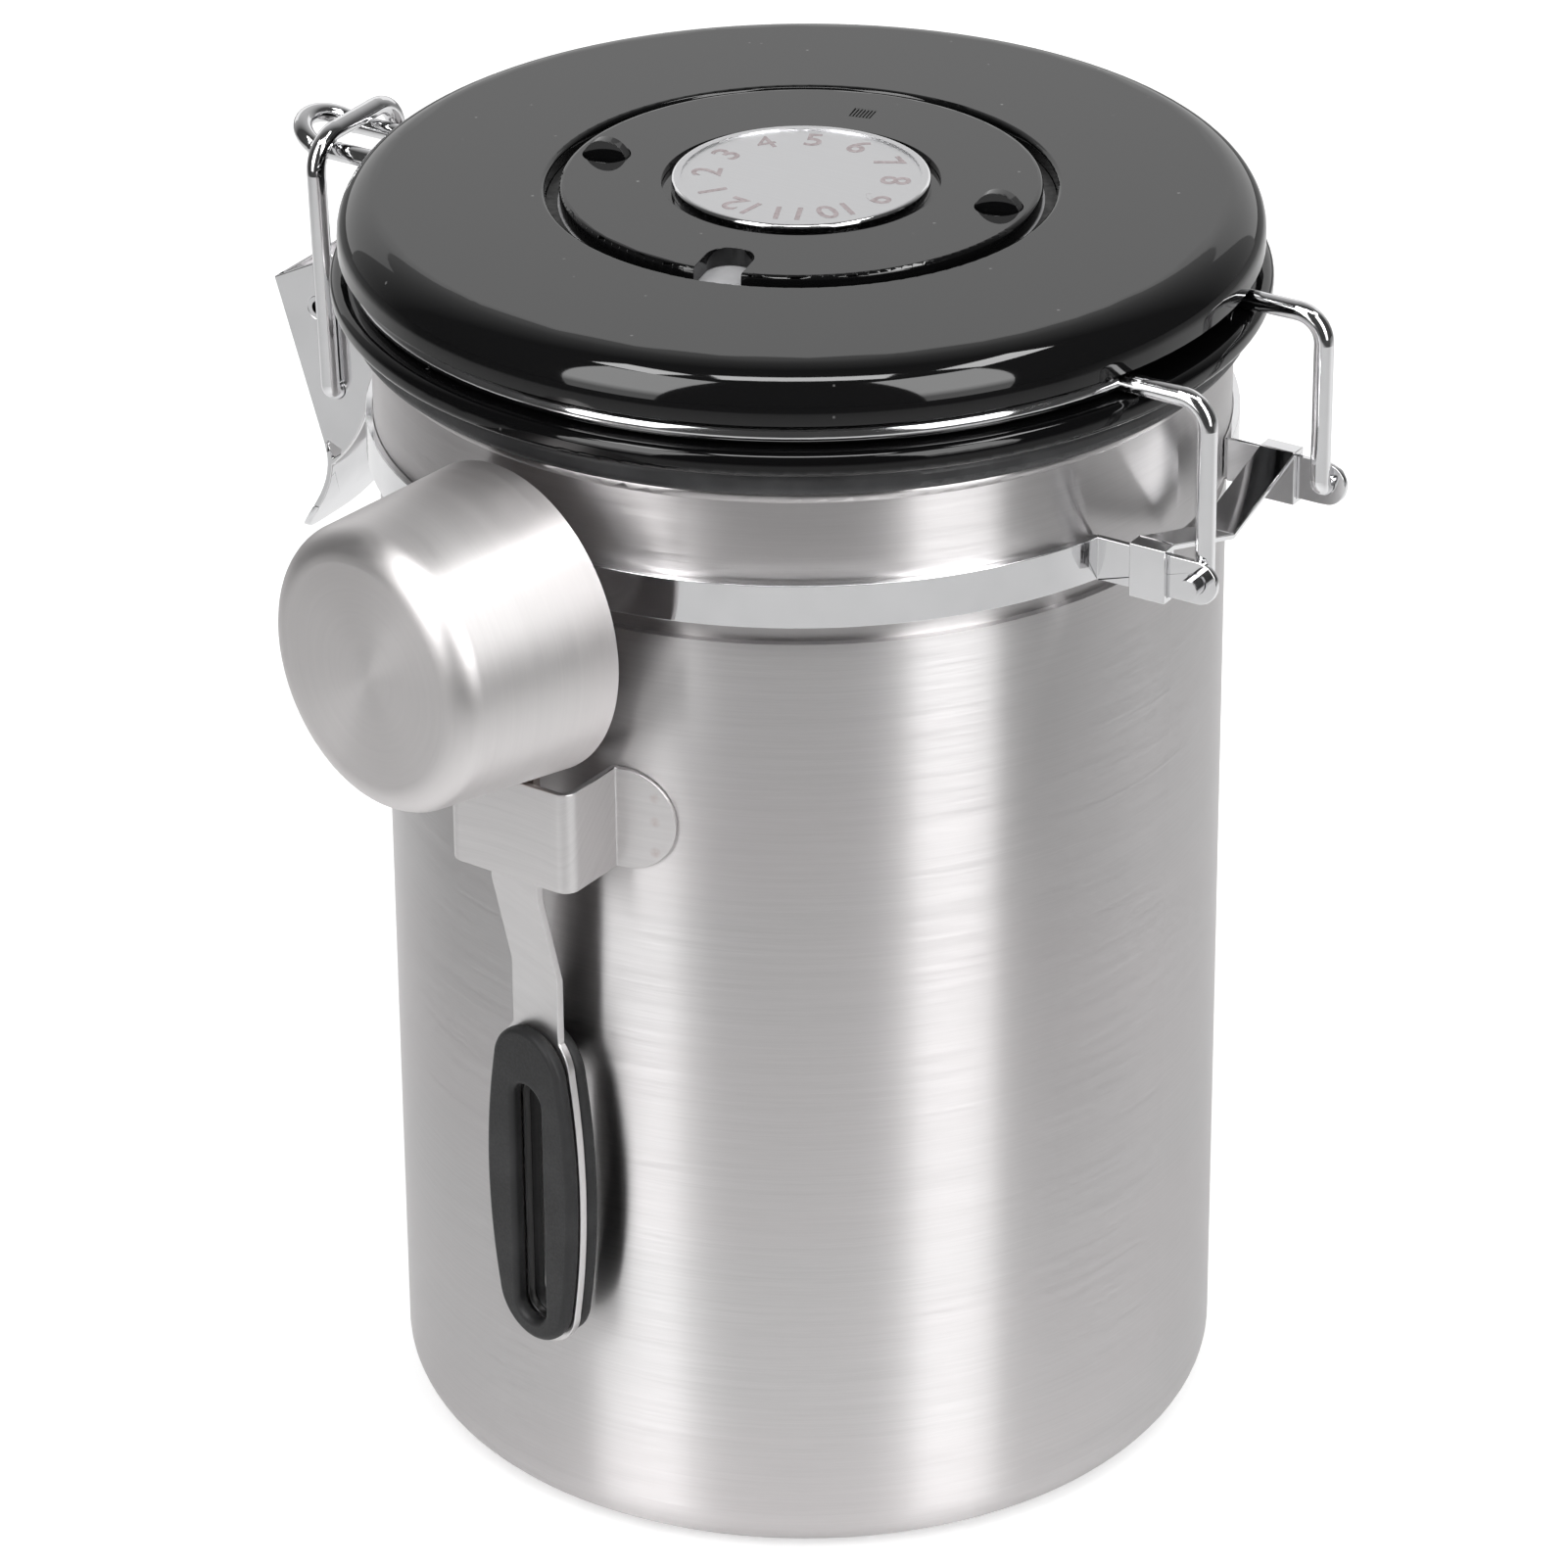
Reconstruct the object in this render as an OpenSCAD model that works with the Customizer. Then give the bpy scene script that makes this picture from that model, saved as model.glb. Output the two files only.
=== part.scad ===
// Coffee canister with a valve in the lid, a date dial, a lever latch and a hanging scoop.
// Millimetres. Z up, origin at the centre of the foot, hinge towards +X, latch towards -X, scoop towards -Y.
$fn = 96;

/* [Body] */
// Outer radius of the can
body_r = 60; // [57:0.5:64]
// Height of the straight wall, up to the groove
body_h = 146.6; // [130:0.2:165]
// Sheet thickness of the can
wall = 0.8; // [0.6:0.1:1.1]
// Outer radius of the bottom edge
corner_r = 7.2; // [5:0.2:9]
// How far the neck stands out past the wall
neck_step = 0.6; // [0.3:0.1:0.9]
// Height of the neck with its rolled rim, above the wall
neck_h = 23.3; // [22:0.1:26]
// Radius of the rolled rim's bead
bead_r = 1.0; // [0.8:0.1:1.1]

/* [Band and hinge] */
// Thickness of the strap
band_t = 1.0; // [0.8:0.1:1.1]
// Height of the strap
band_w = 6.3; // [5.8:0.1:6.8]
// Hinge axis, distance outside the strap
hinge_out = 12.3; // [11.5:0.1:13]
// Half distance between the hinge legs
leg_half = 16.4; // [15:0.2:18]
// Width of the crimped bridge
bridge_w = 5.5; // [4.5:0.1:6]
// Depth of the V in the bridge
bridge_v = 5.4; // [4:0.1:6]

/* [Wire] */
// Wire diameter, of the lid wire and the bail
wire_d = 2.8; // [2.5:0.1:3]
// Half distance between the legs of the lid's loop
loop_half = 5; // [4.6:0.1:5.6]
// Reach of the loop past the strap, to where it curls
loop_out = 17.8; // [17:0.1:19]
// Angle of the curled tip
loop_tilt = 25; // [15:1:30]

/* [Lid] */
// How far the cap stands out past the can
cap_out = 4.8; // [4.2:0.1:5.4]
// Height of the cap's skirt and top
cap_h = 7.5; // [7:0.1:8.5]
// Rounding of the cap's top edge
cap_round = 5.8; // [4.5:0.1:6.4]
// How far the lower flange stands out past the can
flange_out = 6.0; // [5.6:0.1:6.4]
// Thickness of the lower flange
flange_t = 3.6; // [3.2:0.1:4]
// Thickness of the gasket
gasket_t = 4.2; // [3.8:0.1:4.6]
// Depth of the plug under the flange
plug_h = 7.2; // [5:0.1:7.6]

/* [Dial] */
// Radius of the round well in the cap
well_r = 35.7; // [35.2:0.1:37]
// Outer radius of the date ring
ring_r = 33.7; // [32:0.1:34]
// Inner radius of the date ring
ring_in = 19.5; // [19:0.1:21]
// Radius of the month dial
dial_r = 18.1; // [17:0.1:18.6]
// Width of the day window in the ring
window_w = 6.8; // [5:0.1:7.5]
// Radius of the ring's two finger dishes, and of the fin that stands in each
dish_r = 3.4; // [3:0.1:3.8]
// Depth of the finger dishes
dish_t = 1.1; // [0.8:0.1:1.3]
// Thickness of a fin
fin_t = 1.8; // [1.4:0.1:2.4]
// Height of a fin above the ring
fin_h = 2.3; // [1.7:0.1:2.7]
// Radius of the window's inner end
window_in = 25.3; // [23.5:0.1:27]
// Azimuth of the day window
window_az = -78; // [-180:1:180]

/* [Latch] */
// Pivot, distance outside the strap
pivot_out = 15.9; // [15.6:0.1:16.5]
// Half width over the lever's sides
lever_half = 8.6; // [8.4:0.1:9]
// Sheet thickness of the lever and its bracket
lever_t = 0.9; // [0.7:0.1:1]
// Play between the bail and the lid's loop with the latch closed
bail_play = 0.45; // [0.4:0.05:0.8]
// Radius of the tubular pivot rivet
pin_r = 1.8; // [1.6:0.1:2]

/* [Scoop] */
// Distance from the cup's axis down to the middle of the grip
handle_l = 89.5; // [84:0.5:94]
// Rim radius of the scoop's cup
cup_r = 22; // [19:0.2:23]
// Depth of the cup
cup_h = 26; // [20:0.5:30]
// Taper of the cup, rim radius less bottom radius
cup_taper = 1.6; // [0.8:0.1:2.4]
// Sheet thickness of the cup
cup_t = 0.7; // [0.5:0.1:0.9]
// Width of the handle strip
strip_w = 9.5; // [8:0.1:10.5]
// Thickness of the handle
strip_t = 1.2; // [1:0.1:1.4]
// Width of the oval grip
grip_w = 17.6; // [16:0.1:17.8]
// Length of the oval grip
grip_l = 50; // [46:0.5:54]
// Thickness of one grip pad
pad_t = 2.3; // [1.8:0.1:2.35]
// Width of the long slot in the grip
slot_w = 4.8; // [4:0.1:5.2]
// Turn of the scoop in its holder
scoop_turn = -12; // [-12:1:0]

/* [Holder] */
// Azimuth of the holder
holder_az = -93; // [-100:1:-80]
// Stand-off of the holder's front plate from the can
holder_out = 11; // [10.9:0.1:12]
// Half width of the holder
holder_half = 10.4; // [10.3:0.1:12]
// Sheet thickness of the holder
holder_t = 0.9; // [0.7:0.1:0.95]
// Height of the holder
holder_h = 15.2; // [12:0.2:18]
// Top edge of the holder, below the groove
holder_drop = 20.9; // [18:0.1:24]

/* [Hidden] */
gap = 0.05;
run = 0.06;
wr = wire_d / 2;
screw_at = body_r - 12;
neck_r = body_r + neck_step;
band_in = neck_r + 0.1;
band_r = band_in + band_t;
band_z = body_h + 3.3;
band_z1 = band_z + band_w;
hinge_x = band_r + hinge_out;
hinge_z = band_z + band_w / 2;
ear_in = leg_half + wr + 0.1;
ear_t = 0.9;
rim_z = body_h + neck_h;
gas_z0 = rim_z + gap;
gas_z1 = gas_z0 + gasket_t;
fl_z0 = gas_z1 - 0.35;
fl_z1 = fl_z0 + flange_t;
fl_r = body_r + flange_out;
ring_c = body_r + 2.2;
wire_z = fl_z1 + wr + 0.12;
cap_z0 = wire_z + wr + 0.75;
cap_z1 = cap_z0 + cap_h;
cap_r = body_r + cap_out;
foot = wr + 0.05;
loop_x = band_r + loop_out;
floor_z = cap_z1 - 3.9;
day_z = floor_z + 1.0 + gap;
ring_z0 = day_z + 0.6 + 0.1;
ring_z1 = cap_z1 + 0.5;
dial_z0 = ring_z1 - 1.0;
dial_z1 = ring_z1 + 0.8;
piv_x = band_r + pivot_out;
piv_z = band_z + 5.3;
at_x = piv_x - 2.8;
at_z = piv_z - 12.2;
bar_x = band_r + 14.3;
bar_z = wire_z + wire_d + bail_play;
bail_l = sqrt(pow(bar_x - at_x, 2) + pow(bar_z - at_z, 2));
bail_tilt = atan2(bar_x - at_x, bar_z - at_z);
bail_half = lever_half + gap + wr + 0.05;
plate_z = fl_z0 + 3;
hold_z1 = body_h - holder_drop;
hold_z0 = hold_z1 - holder_h;
hold_f = body_r + holder_out;
cup_d = (fl_r + 0.75) / cos(scoop_turn);
cup_z = hold_z1 + 0.1 + strip_t + 0.02 + cup_r;
grip_d = hold_f - holder_t - 5.1;
grip_z = cup_z - handle_l;
jog = cup_d - grip_d;
// sideways shift that keeps the turned grip in the middle of the holder
shift = jog * sin(scoop_turn);
cup_edge = 4.5;

module rod(a, b, d = wire_d) {
  v = b - a;
  l = norm(v);
  translate(a) rotate([0, acos(v[2] / l), atan2(v[1], v[0])]) cylinder(h = l, d = d, $fn = 32);
}
module arc(r, a, d = wire_d) {
  rotate_extrude(angle = a, $fn = 96) translate([r, 0]) circle(d = d, $fn = 32);
}
module xz(y0, y1) {
  translate([0, y1, 0]) rotate([90, 0, 0]) linear_extrude(y1 - y0) children();
}
module yz(x0, x1) {
  translate([x0, 0, 0]) rotate([90, 0, 90]) linear_extrude(x1 - x0) children();
}
module tube(r0, r1, z0, z1) {
  translate([0, 0, z0]) difference() {
    cylinder(r = r1, h = z1 - z0);
    translate([0, 0, -1]) cylinder(r = r0, h = z1 - z0 + 2);
  }
}
module both() {
  children();
  mirror([0, 1, 0]) children();
}

// Can, its band, brackets and the scoop's holder
module can_body() color("silver") {
  rb = neck_r - bead_r + 0.6;
  rotate_extrude() difference() {
    union() {
      translate([0, corner_r]) square([body_r, body_h - corner_r]);
      square([body_r - corner_r, corner_r + 1]);
      translate([body_r - corner_r, corner_r]) circle(corner_r);
      translate([0, body_h - 1]) square([body_r - 1.1, 5]);
      translate([0, band_z - 0.3]) square([neck_r, rim_z - bead_r - band_z + 0.3]);
      translate([rb, rim_z - bead_r]) circle(bead_r, $fn = 32);
    }
    // inside
    translate([0, corner_r]) square([body_r - wall, body_h - wall * 2 - corner_r + 0.6]);
    translate([0, wall]) square([body_r - corner_r, corner_r]);
    translate([body_r - corner_r, corner_r]) circle(corner_r - wall);
    translate([0, corner_r]) square([body_r - 1.1 - wall, rim_z]);
    translate([0, band_z - 0.3 + wall]) square([neck_r - wall, rim_z]);
    translate([-200, -200]) square([200, 600]);
  }
}
module neck_band() color("gainsboro") {
  a0 = asin((ear_in + ear_t / 2) / band_r);
  difference() {
    union() {
      rotate([0, 0, a0]) translate([0, 0, band_z])
        rotate_extrude(angle = 360 - 2 * a0) translate([band_in, 0]) square([band_t, band_w]);
      both() xz(ear_in, ear_in + ear_t) difference() {
        union() {
          translate([sqrt(pow(band_in, 2) - pow(ear_in, 2)) + 0.5, band_z])
            square([hinge_x - sqrt(pow(band_in, 2) - pow(ear_in, 2)) - 0.5, band_w]);
          translate([hinge_x, hinge_z]) circle(band_w / 2);
        }
      }
    }
    both() translate([hinge_x, ear_in - 1, hinge_z]) rotate([-90, 0, 0]) cylinder(r = wr + run, h = 3);
  }
}
module hinge_bridge() color("gainsboro") {
  x0 = band_r + 2.4;
  t = 0.8;
  yi = ear_in - gap - t;
  yo = ear_in + ear_t + gap + t;
  yz(x0, x0 + bridge_w) {
    for (s = [-1, 1]) scale([s, 1]) difference() {
      translate([yi, band_z - gap - t]) square([yo - yi, band_w + 2 * (gap + t)]);
      translate([ear_in - gap, band_z - gap]) square([ear_t + 2 * gap, band_w + 2 * gap]);
    }
    polygon([
      [-yi - 0.1, band_z1 + gap + t], [-yi - 0.1, band_z1 + gap], [0, band_z1 + gap - bridge_v],
      [yi + 0.1, band_z1 + gap], [yi + 0.1, band_z1 + gap + t], [0, band_z1 + gap + t - bridge_v]
    ]);
  }
}
module latch_bracket() color("gainsboro") {
  yo = lever_half - lever_t - 0.15;
  yi = yo - lever_t;
  r0 = band_r + 0.02;
  difference() {
    union() {
      intersection() {
        tube(r0 - 1, r0 + lever_t, band_z + 0.05, band_z1 - 0.05);
        translate([-100, -yo, 0]) cube([100, 2 * yo, 400]);
      }
      both() xz(yi, yo) {
        polygon([
          [-r0 - 0.3, band_z + 0.05], [-piv_x - 3.65, piv_z - 6.35], [-piv_x - 3.2, piv_z],
          [-piv_x, piv_z + 3.2], [-r0 - 0.3, band_z1 - 0.05]
        ]);
        translate([-piv_x, piv_z]) circle(3.2);
      }
    }
    cylinder(r = r0, h = 300);
    translate([-piv_x, -20, piv_z]) rotate([-90, 0, 0]) cylinder(r = pin_r + run, h = 40, $fn = 48);
  }
}
module holder_at() rotate([0, 0, holder_az]) children();
module scoop_holder() color("silver") {
  tab = 8.2;
  ra = body_r + 0.03;
  rb = ra + holder_t;
  h = holder_half;
  a_in = asin((h - holder_t) / ra);
  a_out = a_in + tab / body_r * 180 / PI + 1.2;
  fr = 2.2;
  wall_x = rb * cos(a_in) - 0.5;
  holder_at() difference() {
    union() {
      translate([0, 0, hold_z0]) linear_extrude(holder_h) {
        // front plate and folds
        translate([hold_f - holder_t, -h + fr]) square([holder_t, 2 * (h - fr)]);
        for (s = [-1, 1]) scale([1, s]) {
          translate([hold_f - fr, h - fr]) intersection() {
            difference() {
              circle(fr, $fn = 48);
              circle(fr - holder_t, $fn = 48);
            }
            square(fr + 1);
          }
          translate([wall_x, h - holder_t]) square([hold_f - fr - wall_x, holder_t]);
        }
      }
      // round-ended tabs that lie on the can
      both() intersection() {
        tube(ra - 1, rb, hold_z0 - 1, hold_z1 + 1);
        translate([0, h - holder_t, 0]) cube([100, 40, 300]);
        rotate([0, 0, a_out]) yz(ra / 2, ra * 2) translate([-holder_h / 2, (hold_z0 + hold_z1) / 2]) {
          circle(d = holder_h);
          translate([-20, -holder_h / 2]) square([20, holder_h]);
        }
      }
    }
    cylinder(r = ra, h = 300);
  }
}

// Lid and its dials
module lid_wire() color("gainsboro") {
  c1x = sqrt(pow(ring_c, 2) - pow(leg_half, 2));
  f1 = asin(leg_half / ring_c);
  c2x = sqrt(pow(ring_c, 2) - pow(loop_half, 2));
  f2 = asin(loop_half / ring_c);
  cr = 4;
  js = wr + 0.08;
  both() {
    translate([0, 0, wire_z]) rotate([0, 0, f1]) arc(ring_c, 180 - f1 - f2);
    // legs of the hinge
    translate([c1x, leg_half, wire_z]) sphere(js, $fn = 32);
    rod([c1x, leg_half, wire_z], [hinge_x - cr, leg_half, wire_z]);
    translate([hinge_x - cr, leg_half, wire_z - cr]) rotate([90, 0, 0]) arc(cr, 90);
    rod([hinge_x, leg_half, wire_z - cr], [hinge_x, leg_half, hinge_z + foot]);
    translate([hinge_x, leg_half + foot, hinge_z + foot]) rotate([90, 0, 90]) rotate([0, 0, 180])
      arc(foot, 90);
    rod([hinge_x, leg_half + foot, hinge_z], [hinge_x, ear_in + ear_t + 2.4, hinge_z]);
    // legs of the loop
    translate([-c2x, loop_half, wire_z]) rotate([0, 90, 0]) sphere(js, $fn = 32);
    rod([-loop_x, loop_half, wire_z], [-c2x, loop_half, wire_z]);
    translate([-loop_x, loop_half, wire_z]) rotate([0, 90, 0]) sphere(js, $fn = 32);
  }
  translate([-loop_x, 0, wire_z]) rotate([0, loop_tilt, 0]) rotate([0, 0, 90]) arc(loop_half, 180);
}
module screw_place(k) rotate([0, 0, 45 + 90 * k]) translate([screw_at, 0, 0]) children();
module lid_cap() color("#18181a") {
  r2 = cap_r - 2;
  well_e = 0.7;
  rotate_extrude() difference() {
    union() {
      translate([0, cap_z0]) square([cap_r - cap_round, cap_h]);
      translate([0, cap_z0]) square([cap_r, cap_h - cap_round]);
      translate([cap_r - cap_round, cap_z1 - cap_round]) circle(cap_round);
    }
    // space under the top
    difference() {
      translate([well_r + 1.8, cap_z0 - 1]) square([r2 - well_r - 1.8, cap_h - 1.2]);
      translate([cap_r - cap_round, cap_z1 - cap_round]) difference() {
        square(cap_round + 1);
        circle(cap_round - 1.9);
      }
    }
    translate([0, floor_z + 1]) square([well_r, 20]);
    translate([0, cap_z1 - well_e]) square([well_r + well_e, 20]);
    translate([0, cap_z0 - 3]) square([well_r + 2, floor_z - cap_z0 + 3]);
    translate([0, 0]) square([8.1, 300]);
    translate([0, cap_z0 - 10]) square([2 * cap_r, 10]);
  }
  // rounded edge of the well
  rotate_extrude() translate([well_r + well_e, cap_z1 - well_e]) circle(well_e, $fn = 32);
  for (k = [0:3]) screw_place(k) tube(1.15, 3.2, plate_z + gap, cap_z1 - 2.1);
}
module lid_base() color("#202022") {
  fr = 1.4;
  px = body_r - 5.1;
  difference() {
    rotate_extrude() difference() {
      union() {
        translate([14.5, fl_z0]) square([fl_r - 14.5 - fr, flange_t]);
        translate([fl_r - fr, fl_z0 + fr]) square([fr, flange_t - 2 * fr]);
        translate([fl_r - fr, fl_z0 + fr]) circle(fr, $fn = 32);
        translate([fl_r - fr, fl_z1 - fr]) circle(fr, $fn = 32);
        translate([body_r - 3.4, fl_z0]) square([2.0, cap_z0 + 1.8 - fl_z0]);
        translate([px - 2.6, fl_z0 - plug_h]) square([2.6, plug_h + 1]);
        translate([12.9, fl_z0]) square([2, 5]);
      }
      // upper side, hollow inside the groove's wall
      translate([15, plate_z]) square([body_r - 3.4 - 15, 20]);
      // seat of the gasket
      translate([px, fl_z0 - 1]) square([body_r + 3.7 - px, gas_z1 - fl_z0 + 1 + 0.02]);
      translate([0, 0]) square([12.9, 300]);
    }
    for (k = [0:3]) screw_place(k) {
      translate([0, 0, fl_z0 - 1]) cylinder(r = 1.5, h = 20, $fn = 32);
      translate([0, 0, fl_z0 - 1]) cylinder(r = 3.1, h = 2.6, $fn = 32);
    }
  }
}
module lid_gasket() color("#2b2b2d") {
  r0 = body_r - 5.0;
  r1 = body_r + 3.6;
  rotate_extrude() {
    translate([r0, gas_z0 + 0.6]) square([r1 - r0 - 1.6, gasket_t - 0.6]);
    translate([r0 + 1, gas_z0]) square([r1 - r0 - 2.6, 1]);
    translate([r1 - 1.6, gas_z0 + 1.6]) circle(1.6, $fn = 32);
    translate([r1 - 1.6, gas_z1 - 1.6]) circle(1.6, $fn = 32);
    translate([r1 - 1.7, gas_z0 + 1.6]) square([1.7, gasket_t - 3.2]);
  }
}
module day_plate() color("#c9cacc") tube(8.3, well_r - 0.1, day_z, day_z + 0.6);
module dial_hub() color("#1c1c1e") {
  z2 = dial_z0 - 0.06;
  difference() {
    union() {
      translate([0, 0, floor_z - 2.6]) cylinder(r = 8.04, h = z2 - floor_z + 2.6);
      translate([0, 0, day_z + 0.6 + 0.02]) cylinder(r = ring_in - 0.08, h = z2 - day_z - 0.62);
      translate([0, 0, ring_z0 + 0.8]) cylinder(r = ring_in + 0.9, h = z2 - ring_z0 - 1.0);
    }
    translate([0, 0, floor_z - 5]) cylinder(r = 3 + run, h = 30);
    translate([0, 0, floor_z - 5]) cylinder(r = 6.2, h = 4.9);
  }
}
module date_ring() color("#1b1b1d") {
  zb = dial_z0 - 0.06 - 0.2;
  er = 0.6;
  dish_z = ring_z1 - dish_t;
  dish_at = ring_r - dish_r - 1.3;
  win_at = window_in + window_w / 2;
  rotate([0, 0, window_az]) {
    difference() {
      rotate_extrude() {
        translate([ring_in, ring_z0]) square([ring_r - ring_in - er, ring_z1 - ring_z0]);
        translate([ring_in, ring_z0]) square([ring_r - ring_in, ring_z1 - ring_z0 - er]);
        translate([ring_r - er, ring_z1 - er]) circle(er, $fn = 32);
      }
      // step under which the hub's rim holds the ring
      translate([0, 0, ring_z0 + 0.7]) cylinder(r = ring_in + 1.0, h = zb - ring_z0 - 0.7 + 0.1);
      // day window, open to the rim
      translate([0, 0, ring_z0 - 1]) linear_extrude(20) {
        translate([win_at, 0]) circle(d = window_w, $fn = 48);
        translate([win_at, -window_w / 2]) square([20, window_w]);
      }
      // index mark opposite the window
      translate([-window_in - 1.9, -1.6, ring_z1 - 0.3]) cube([3, 3.2, 1]);
      both() translate([0, dish_at, dish_z]) cylinder(r = dish_r, h = 10, $fn = 64);
    }
    // half-round fins across the dishes
    both() yz(-fin_t / 2, fin_t / 2) translate([dish_at, 0]) intersection() {
      union() {
        translate([0, ring_z1 + fin_h - dish_r]) circle(dish_r - 0.02, $fn = 64);
        translate([-dish_r + 0.02, dish_z - 0.3]) square([2 * dish_r - 0.04, fin_h + dish_t + 0.3 - dish_r]);
      }
      translate([-dish_r, dish_z - 0.2]) square([2 * dish_r, 10]);
    }
  }
}
module month_dial() color("#c4c5c7") {
  difference() {
    union() {
      rotate_extrude() {
        translate([0, dial_z0]) square([dial_r, dial_z1 - dial_z0 - 0.5]);
        translate([0, dial_z0]) square([dial_r - 0.5, dial_z1 - dial_z0]);
        translate([dial_r - 0.5, dial_z1 - 0.5]) circle(0.5, $fn = 24);
      }
      translate([0, 0, floor_z - 3.4]) cylinder(r = 3, h = dial_z0 - floor_z + 3.6);
    }
    tube(0, dial_r - 1.3, dial_z1 - 0.25, dial_z1 + 1);
    tube(2.4, 5, floor_z - 2.6, floor_z - 1.9);
  }
}
module dial_clip() color("#8a8b8d") difference() {
  tube(2.42, 5.6, floor_z - 2.55, floor_z - 1.95);
  translate([0, -1.9, floor_z - 5]) cube([20, 3.8, 10]);
}
module lid_screw(k) color("#9a9b9d") screw_place(k) difference() {
  union() {
    translate([0, 0, fl_z0 - 0.1]) cylinder(r = 2.8, h = 1.65, $fn = 32);
    translate([0, 0, fl_z0]) cylinder(r = 1.13, h = 7.6, $fn = 32);
  }
  translate([-2, -0.35, fl_z0 - 1]) cube([4, 0.7, 1.6]);
  translate([-0.35, -2, fl_z0 - 1]) cube([0.7, 4, 1.6]);
}
module lid_screw_a() lid_screw(0);
module lid_screw_b() lid_screw(1);
module lid_screw_c() lid_screw(2);
module lid_screw_d() lid_screw(3);

// Vent valve in the middle of the lid
module valve_body() color("#e4e4e2") {
  z0 = fl_z0 - 5.6;
  difference() {
    union() {
      tube(11, 12.84, z0, fl_z0 + 4.2);
      tube(12, 16, fl_z0 - 1.6, fl_z0 - gap);
      translate([0, 0, z0 + 1.6]) cylinder(r = 11.2, h = 1.4);
      tube(8.0, 9.0, z0 + 2.9, z0 + 3.6);
    }
    for (a = [0:60:300]) rotate([0, 0, a]) translate([5, 0, z0]) cylinder(r = 1.5, h = 6, $fn = 32);
  }
}
module valve_disc() color("#b9532f") {
  z0 = fl_z0 - 5.6 + 3.6 + 0.02;
  translate([0, 0, z0]) cylinder(r = 9.6, h = 1.0);
  translate([0, 0, z0 + 0.9]) cylinder(r = 2, h = 1.0);
}
module valve_cage() color("#d8d8d6") {
  z0 = fl_z0 - 5.6 + 3.0 + 0.02;
  difference() {
    union() {
      tube(9.9, 10.95, z0, fl_z0 + 4.2);
      translate([0, 0, fl_z0 + 2.6]) cylinder(r = 10.95, h = 1.6);
    }
    for (a = [0:60:300]) rotate([0, 0, a + 30]) translate([6, 0, z0]) cylinder(r = 1.5, h = 20, $fn = 32);
  }
}
module valve_filter() color("#f0efe9") translate([0, 0, fl_z0 - 5.6 + 0.3]) cylinder(r = 10.96, h = 1.25);

// Over-centre latch
module lever_side() {
  difference() {
    intersection() {
      polygon([
        [-piv_x - 7.7, piv_z + 3.3], [-piv_x + 17.6, piv_z + 16.3], [-piv_x + 17.6, piv_z - 30.2],
        [-piv_x + 0.9, piv_z - 25.4], [-piv_x + 0.1, piv_z - 21.7]
      ]);
      translate([-piv_x - 16.4, piv_z - 6.3]) circle(25.7, $fn = 180);
    }
    translate([-piv_x, piv_z]) circle(pin_r + 0.01, $fn = 48);
    translate([-at_x, at_z]) circle(wr + run, $fn = 48);
    polygon([
      [-piv_x + 0.8, piv_z - 20.9], [-piv_x + 3.1, piv_z - 21.9], [-piv_x + 2.9, piv_z - 22.7],
      [-piv_x + 1.0, piv_z - 24.1]
    ]);
  }
}
module latch_lever() color("gainsboro") {
  t = lever_t;
  n = 12;
  // thumb tab, a smooth curve from the waist out to the tip
  w = [-piv_x + 0.1, piv_z - 21.7];
  c = [-piv_x + 2.2, piv_z - 28.0];
  e = [-piv_x - 6.3, piv_z - 37.6];
  q = [for (i = [0:n]) let (u = i / n) w * (1 - u) * (1 - u) + c * 2 * u * (1 - u) + e * u * u];
  p = [for (i = [0:n]) let (u = i / n, d = (c - w) * (1 - u) + (e - c) * u)
    q[i] + [-d[1], d[0]] / norm(d) * t];
  both() xz(lever_half - t, lever_half) lever_side();
  xz(-lever_half, lever_half) polygon([
    [-piv_x - 7.7, piv_z + 3.3], [-piv_x - 7.7 + t, piv_z + 3.3 + t * 0.51], [-piv_x + 0.1 + t, piv_z - 21.7],
    [-piv_x + 0.1, piv_z - 21.7]
  ]);
  intersection() {
    xz(-lever_half - 1, lever_half + 1)
      polygon(concat([w + [-0.01, 0.3], w + [t, 0.3]], p, [for (i = [n:-1:0]) q[i]]));
    yz(-2 * piv_x, 0) {
      translate([-lever_half, piv_z - 32.4]) square([2 * lever_half, 30]);
      translate([-lever_half + 5, piv_z - 38]) square([2 * lever_half - 10, 10]);
      for (s = [-1, 1]) translate([s * (lever_half - 5), piv_z - 32.9]) circle(5, $fn = 48);
    }
  }
}
module latch_pin() color("gainsboro") translate([-piv_x, 0, piv_z]) rotate([90, 0, 0]) difference() {
  cylinder(r = pin_r, h = 2 * lever_half, center = true, $fn = 48);
  cylinder(r = pin_r - 0.7, h = 2 * lever_half + 2, center = true, $fn = 48);
}
module bail_wire() color("gainsboro") {
  cr = 5;
  translate([-at_x, 0, at_z]) rotate([0, -bail_tilt, 0]) {
    both() {
      rod([0, lever_half - 3, 0], [0, bail_half - foot, 0]);
      translate([0, bail_half - foot, foot]) rotate([90, 0, 90]) rotate([0, 0, 270]) arc(foot, 90);
      rod([0, bail_half, foot], [0, bail_half, bail_l - cr]);
      translate([0, bail_half - cr, bail_l - cr]) rotate([90, 0, 90]) arc(cr, 90);
    }
    rod([0, -bail_half + cr, bail_l], [0, bail_half - cr, bail_l]);
  }
}

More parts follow.
